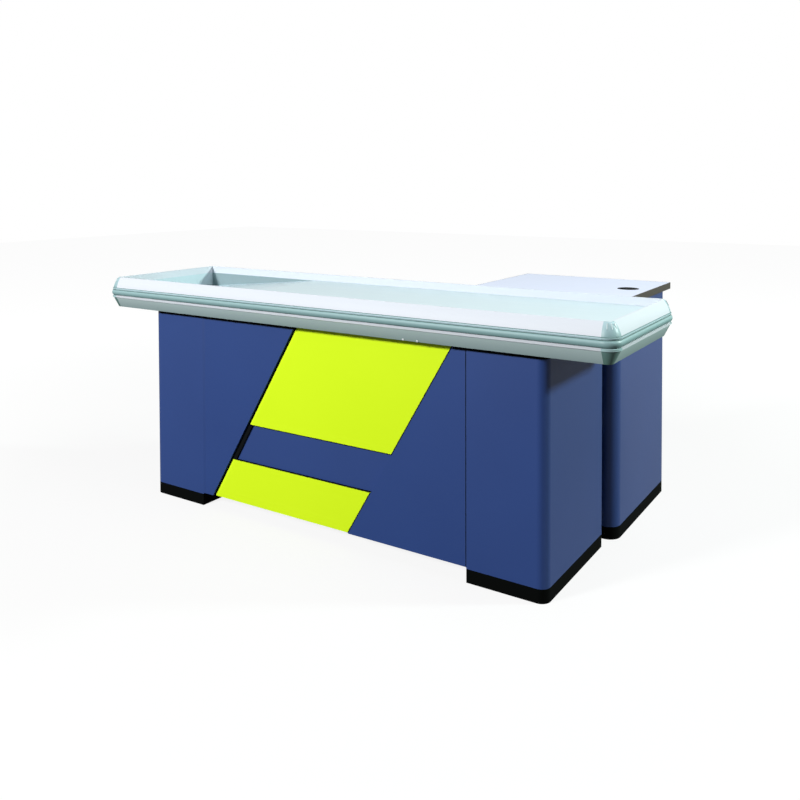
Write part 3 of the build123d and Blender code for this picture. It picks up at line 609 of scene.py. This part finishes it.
# %% Capped screws on the rail
RAIL_CROWN = 6.5 * MM
SLOPE_REACH, SLOPE_TOP = 26.0 * MM, 38.5 * MM
CAP_SHARE = 0.08
CAP_PLACES = (0.362, 0.4155)
slope_run = SLOPE_REACH - RAIL_CROWN
cap_y = rail_high.y - RAIL_CROWN - slope_run * CAP_SHARE
cap_z = rail_low.z + SLOPE_TOP * CAP_SHARE
cap_places = [facing((x, cap_y, cap_z), (0, -SLOPE_TOP, -slope_run)) for x in CAP_PLACES]
white_cap, _, _ = start_material("white plastic screw cap", "#F6F8FA", 0.4, **{"Specular IOR Level": 0.3})
settle(copies_at(model_screw(), cap_places), "rail_screw_caps", white_cap, "counter")
print("rail screws:", len(cap_places))

# %% [markdown]
# ## Joint profiles and seals
# The lime panels lie deeper than the blue boards, and black ABS profiles close their joints: a wide
# profile fills the slanted joint on the left, three frame the stripe above, below and on its left, and
# thin ones run down the right-hand edges. Each is a block between two corners. Where it has to follow
# the stripe, its upper end is slid along X.

# %% Measure the joints
JOINT_GAP = 8.0 * MM
JOINT_PLAY = 0.3 * MM
JOINT_DEPTH = 6.0 * MM
LIP_HEIGHT = 3.0 * MM
STRIPE_END = 14.0 * MM
EDGE_SEAL = 5.0 * MM
SEAL_THICKNESS = 0.8 * MM
upper_low, upper_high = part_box("lime_panel_upper")
lower_low, lower_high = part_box("lime_panel_lower")
left_low, left_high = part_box("apron_panel_left")
right_low, right_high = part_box("apron_panel_right")
left_case_low, left_case_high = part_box("shell_left")
right_case_low, right_case_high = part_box("shell_right")
back_low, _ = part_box("apron_back")
face_y = back_low.y - JOINT_DEPTH
slant = (upper_low.x - lower_low.x) / (upper_low.z - lower_low.z)
lime_length = upper_high.x - upper_low.x - slant * (upper_high.z - upper_low.z)


def stripe_left(height):
    """X of the stripe's left edge at a height."""
    return lower_low.x + slant * (height - lower_low.z)


def add_profile(name, low, high, slanted=False):
    """A black profile between two corners. A slanted one leans with the stripe above its lower end."""
    low, high = Vector(low), Vector(high)
    profile = add_block(high - low, (low + high) / 2)
    if slanted:
        slide_corners(profile, lambda corner: corner.z > 0, slant * (high.z - low.z))
    settle(profile, name, dark_abs, "counter")


# %% Model the joint profiles
add_profile(
    "slanted_joint_profile", (lower_low.x - JOINT_GAP + JOINT_PLAY, face_y, lower_low.z),
    (lower_low.x - JOINT_PLAY, back_low.y, upper_high.z), slanted=True)
for name, foot in (("stripe_joint_upper", upper_low.z - LIP_HEIGHT), ("stripe_joint_lower", lower_high.z)):
    left_x = stripe_left(foot) + LIP_HEIGHT
    add_profile(
        name, (left_x, face_y, foot),
        (left_x + lime_length - 2 * LIP_HEIGHT, back_low.y, foot + LIP_HEIGHT))
end_foot, end_head = lower_high.z + LIP_HEIGHT, upper_low.z - LIP_HEIGHT
end_x = stripe_left(end_foot)
add_profile(
    "stripe_joint_left", (end_x, face_y, end_foot), (end_x + STRIPE_END, back_low.y, end_head),
    slanted=True)
for name, low, high in (
        ("edge_seal_upper", upper_low, upper_high), ("edge_seal_lower", lower_low, lower_high)):
    right_x = stripe_left(low.z) + lime_length
    add_profile(
        name, (right_x - EDGE_SEAL, low.y - SEAL_THICKNESS, low.z), (right_x, low.y, high.z), slanted=True)
print("joint profiles lean", round(slant, 3), "to 1")

# %% [markdown]
# A black strip runs under the rail on the blue boards and pedestals, where the rail throws a dark
# shadow line: it is painted shadow, drawn as a seal. The lime panel lies deeper and gets no strip, so
# the strip comes in two lengths.

# %% Black strips for the rail's shadow on the boards
# Painted shadow: a black strip under the rail stands in for the rail's dark shadow line.
RAIL_SHADOW_STRIP_HEIGHT = 15.0 * MM
CASE_BEND = 32.0 * MM
shadow_strip_foot, shadow_strip_head = upper_high.z - RAIL_SHADOW_STRIP_HEIGHT, upper_high.z
shadow_strip_y = left_case_low.y - SEAL_THICKNESS
for name, start, end in (
        ("rail_shadow_strip_left", left_case_low.x + CASE_BEND, left_high.x),
        ("rail_shadow_strip_right", stripe_left(shadow_strip_head) + lime_length, right_case_high.x - CASE_BEND)):
    add_profile(name, (start, shadow_strip_y, shadow_strip_foot), (end, left_case_low.y, shadow_strip_head))
print("rail shadow strip:", round(RAIL_SHADOW_STRIP_HEIGHT / MM), "mm high")

# %% [markdown]
# The seam beside the left-hand pedestal is hidden by a blue strip, bevelled so far that it hardly throws
# a shadow.

# %% Cover the left seam
COVER_WIDTH = 12.0 * MM
seam_cover = add_block(
    (COVER_WIDTH, left_low.y - left_case_low.y, left_high.z - left_low.z),
    (left_case_high.x + COVER_WIDTH / 2, (left_low.y + left_case_low.y) / 2, (left_low.z + left_high.z) / 2))
slide_corners(seam_cover, lambda corner: corner.x > 0 > corner.y, SEAL_THICKNESS - COVER_WIDTH)
settle(seam_cover, "case_seam_cover_left", blue_powder, "counter")
print("seam cover:", round(COVER_WIDTH / MM), "mm wide")

# %% [markdown]
# At the right-hand pedestal the black shadow strip under the rail turns the bend as a quarter ring, cut
# from a cylinder, and the seam beside that pedestal shows a thin black seal.

# %% Shadow strip round the right-hand pedestal, and its seam seal
BEND_SIDES = 96
TOOL_OVERRUN = 2.0 * MM
bend_x, bend_y = right_case_high.x - CASE_BEND, right_case_low.y + CASE_BEND
shadow_strip_middle = shadow_strip_head - RAIL_SHADOW_STRIP_HEIGHT / 2


def add_disc(radius, height):
    """A disc about the axis of the pedestal's bend."""
    clear_selection()
    bpy.ops.mesh.primitive_cylinder_add(
        vertices=BEND_SIDES, radius=radius, depth=height, location=(bend_x, bend_y, shadow_strip_middle))
    return bpy.context.object


# Painted shadow: the black strip under the rail, turned round the bend.
shadow_strip_bend = add_disc(CASE_BEND + SEAL_THICKNESS, RAIL_SHADOW_STRIP_HEIGHT)
cut_with(shadow_strip_bend, add_disc(CASE_BEND, RAIL_SHADOW_STRIP_HEIGHT + TOOL_OVERRUN))
quarter = add_block(
    (2 * CASE_BEND, 2 * CASE_BEND, 2 * CASE_BEND), (bend_x + CASE_BEND, bend_y - CASE_BEND, shadow_strip_middle))
cut_with(shadow_strip_bend, quarter, "INTERSECT")
settle(shadow_strip_bend, "rail_shadow_strip_bend", dark_abs, "counter")
add_profile(
    "case_seam_seal_right", (right_high.x - 2 * SEAL_THICKNESS, right_low.y - SEAL_THICKNESS, right_low.z),
    (right_case_low.x, right_low.y, right_high.z))
print("bend shadow strip:", len(shadow_strip_bend.data.polygons), "faces")

# %% [markdown]
# ## Liners in the well
# Each of the two long walls of the well is faced with a thin grey-green PVC sheet, which makes the walls
# darker than the deck. A sheet is a block whose lower right edge is pulled back to the foot of the ramp,
# which gives it the ramp's slope.

# %% Model the liners
LINER = 1.0 * MM
LINER_CLEARANCE = 1.0 * MM
WELL_FOOT_LENGTH = 30.0 * MM
RAMP_LIP = 20.0 * MM
SHEET = 1.5 * MM
pan_low, pan_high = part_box("well_pan")
deck_low, deck_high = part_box("deck_plate")
ramp_foot_x = pan_low.x + WELL_FOOT_LENGTH
ramp_head_x = deck_low.x - RAMP_LIP
liner_low_z = pan_low.z + SHEET + LINER_CLEARANCE
liner_high_z = deck_high.z - SHEET - LINER_CLEARANCE
liner_start = pan_low.x + SHEET + LINER_CLEARANCE
ramp_rise = deck_high.z - pan_low.z - SHEET
ramp_run = ramp_head_x - ramp_foot_x
liner_end = ramp_head_x - (deck_high.z - liner_high_z + LINER_CLEARANCE) / ramp_rise * ramp_run
liner_sheet, _, _ = start_material(
    "grey-green PVC sheet", "#8CA1A6", 0.55, **{"Specular IOR Level": 0.2})
for name, wall_y, inward in (
        ("well_liner_front", pan_low.y + SHEET, 1), ("well_liner_rear", pan_high.y - SHEET, -1)):
    liner = add_block(
        (liner_end - liner_start, LINER, liner_high_z - liner_low_z),
        ((liner_start + liner_end) / 2, wall_y + inward * LINER / 2, (liner_low_z + liner_high_z) / 2))
    slide_corners(liner, lambda corner: corner.x > 0 > corner.z, ramp_foot_x - liner_end)
    settle(liner, name, liner_sheet, "counter")
print("liners run from", round(liner_start, 3), "to", round(liner_end, 3), "m")

# %% [markdown]
# ## Floor, backdrop and light
# A plain pale floor and a white surround, as in a product studio. The floor adds light of its own for
# the camera, and more of it further out, so that it clears to white away from the object while the
# object's soft shadow stays. A small share of that light shows in glossy surfaces too.

# %% Floor
WHITE = linear("#FFFFFF")
FLOOR_SIZE = 30.0
FLOOR_GLOW_NEAR, FLOOR_GLOW_FAR = 0.87, 0.96
SWEEP_START, SWEEP_END = 1.6, 4.5
GLOW_IN_GLOSS = 0.14
clear_selection()
bpy.ops.mesh.primitive_plane_add(size=FLOOR_SIZE, location=(0, 0, 0))
floor = bpy.context.object
floor.name = "studio_floor"
floor_paint = bpy.data.materials.new("pale studio floor")
floor_paint.use_nodes = True
floor_paint.node_tree.nodes.clear()
floor_place = add_node(floor_paint, "ShaderNodeTexCoord").outputs["Object"]
distance = add_node(floor_paint, "ShaderNodeVectorMath", {"operation": "LENGTH"}, {0: floor_place})
sweep = add_node(
    floor_paint, "ShaderNodeMapRange",
    {"From Min": SWEEP_START, "From Max": SWEEP_END, "To Min": FLOOR_GLOW_NEAR, "To Max": FLOOR_GLOW_FAR},
    {"Value": distance.outputs["Value"]})
floor_rays = add_node(floor_paint, "ShaderNodeLightPath")
in_gloss = add_node(
    floor_paint, "ShaderNodeMath", {"operation": "MULTIPLY", 1: GLOW_IN_GLOSS},
    {0: floor_rays.outputs["Is Glossy Ray"]})
seen = add_node(
    floor_paint, "ShaderNodeMath", {"operation": "MAXIMUM"},
    {0: floor_rays.outputs["Is Camera Ray"], 1: in_gloss.outputs["Value"]})
glow_strength = add_node(
    floor_paint, "ShaderNodeMath", {"operation": "MULTIPLY"},
    {0: seen.outputs["Value"], 1: sweep.outputs["Result"]})
glow = add_node(
    floor_paint, "ShaderNodeEmission", {"Color": WHITE}, {"Strength": glow_strength.outputs["Value"]})
matt = add_node(floor_paint, "ShaderNodeBsdfDiffuse", {"Color": linear("#5E5E5E")})
both = add_node(
    floor_paint, "ShaderNodeAddShader", links={0: matt.outputs["BSDF"], 1: glow.outputs["Emission"]})
add_node(floor_paint, "ShaderNodeOutputMaterial", links={"Surface": both.outputs["Shader"]})
floor.data.materials.append(floor_paint)
print("floor:", FLOOR_SIZE, "m")

# %% [markdown]
# The world is plain white to the camera. It lights the object only weakly from all round, and gloss and
# glass see it run from a dim room in front, on the side of -Y, to a white backdrop behind.

# %% Surround
AMBIENT = 0.08
REFLECTED_ROOM, REFLECTED_BACKDROP = 0.15, 1.0
world = bpy.data.worlds.new("white studio")
bpy.context.scene.world = world
world.use_nodes = True
world.node_tree.nodes.clear()
rays = add_node(world, "ShaderNodeLightPath")
direction = add_node(world, "ShaderNodeTexCoord").outputs["Generated"]
split = add_node(world, "ShaderNodeSeparateXYZ", links={"Vector": direction})
reflected = add_node(
    world, "ShaderNodeMapRange",
    {"From Min": -1.0, "From Max": 1.0, "To Min": REFLECTED_ROOM, "To Max": REFLECTED_BACKDROP},
    {"Value": split.outputs["Y"]})
mirror_or_glass = add_node(
    world, "ShaderNodeMath", {"operation": "MAXIMUM"},
    {0: rays.outputs["Is Glossy Ray"], 1: rays.outputs["Is Transmission Ray"]})
FLOAT_FIRST, FLOAT_SECOND, FLOAT_RESULT = 2, 3, 0
soft_or_sharp = add_node(
    world, "ShaderNodeMix", {"data_type": "FLOAT", FLOAT_FIRST: AMBIENT},
    {"Factor": mirror_or_glass.outputs["Value"], FLOAT_SECOND: reflected.outputs["Result"]})
level = add_node(
    world, "ShaderNodeMix", {"data_type": "FLOAT", FLOAT_SECOND: 1.0},
    {"Factor": rays.outputs["Is Camera Ray"], FLOAT_FIRST: soft_or_sharp.outputs[FLOAT_RESULT]})
sky = add_node(world, "ShaderNodeBackground", {"Color": WHITE}, {"Strength": level.outputs[FLOAT_RESULT]})
add_node(world, "ShaderNodeOutputWorld", links={"Surface": sky.outputs["Background"]})
print("surround:", world.name)

# %% [markdown]
# Three softboxes light the counter. The front one is high and to the left and does most of the work, the
# right one lights the end with a slightly green light, as fluorescent tubes give, and a weak, wide one
# fills the tray from above.

# %% Lamps
def softbox(name, place, target, width, height, watts, colour=(1.0, 1.0, 1.0)):
    """An area lamp that faces a target."""
    lamp = bpy.data.lights.new(name, "AREA")
    lamp.shape, lamp.size, lamp.size_y = "RECTANGLE", width, height
    lamp.energy, lamp.color = watts, colour
    holder = bpy.data.objects.new(name, lamp)
    bpy.context.collection.objects.link(holder)
    holder.location = place
    holder.rotation_euler = (Vector(target) - Vector(place)).to_track_quat("-Z", "Y").to_euler()
    holder.visible_camera = False


middle = (cad_low + cad_high) / 2
softbox("front softbox", (-2.6, -6.6, 3.9), middle, 1.0, 1.0, 585.0)
softbox("right softbox", (5.8, 2.8, 3.35), (0.9, 0.3, 0.5), 0.6, 0.6, 395.0, (0.84, 1.0, 0.93))
softbox("top softbox", (1.9, -0.3, 3.6), middle, 1.4, 1.2, 38.0)

# %% [markdown]
# ## Camera
# The counter is seen from its right front corner, a little above its top, through a moderately wide
# lens. The camera is almost level, so the uprights stay nearly parallel, and the frame is slid down with
# lens shift, as with a view camera, instead of by tilting it.

# %% Camera
CAMERA_PLACE = (1.7954, -2.7829, 1.25)
CAMERA_YAW, CAMERA_TILT, CAMERA_ROLL = 0.5767, 0.0282, -0.0030
camera_data = bpy.data.cameras.new("camera")
camera_data.sensor_width = 36.0
camera_data.lens = 37.23
camera_data.shift_y = -0.242
camera = bpy.data.objects.new("camera", camera_data)
bpy.context.collection.objects.link(camera)
bpy.context.scene.camera = camera
camera.matrix_world = (
    Matrix.Translation(CAMERA_PLACE) @ Matrix.Rotation(CAMERA_YAW, 4, "Z")
    @ Matrix.Rotation(math.pi / 2 - CAMERA_TILT, 4, "X") @ Matrix.Rotation(CAMERA_ROLL, 4, "Z"))
bpy.context.scene.view_settings.view_transform = "Standard"
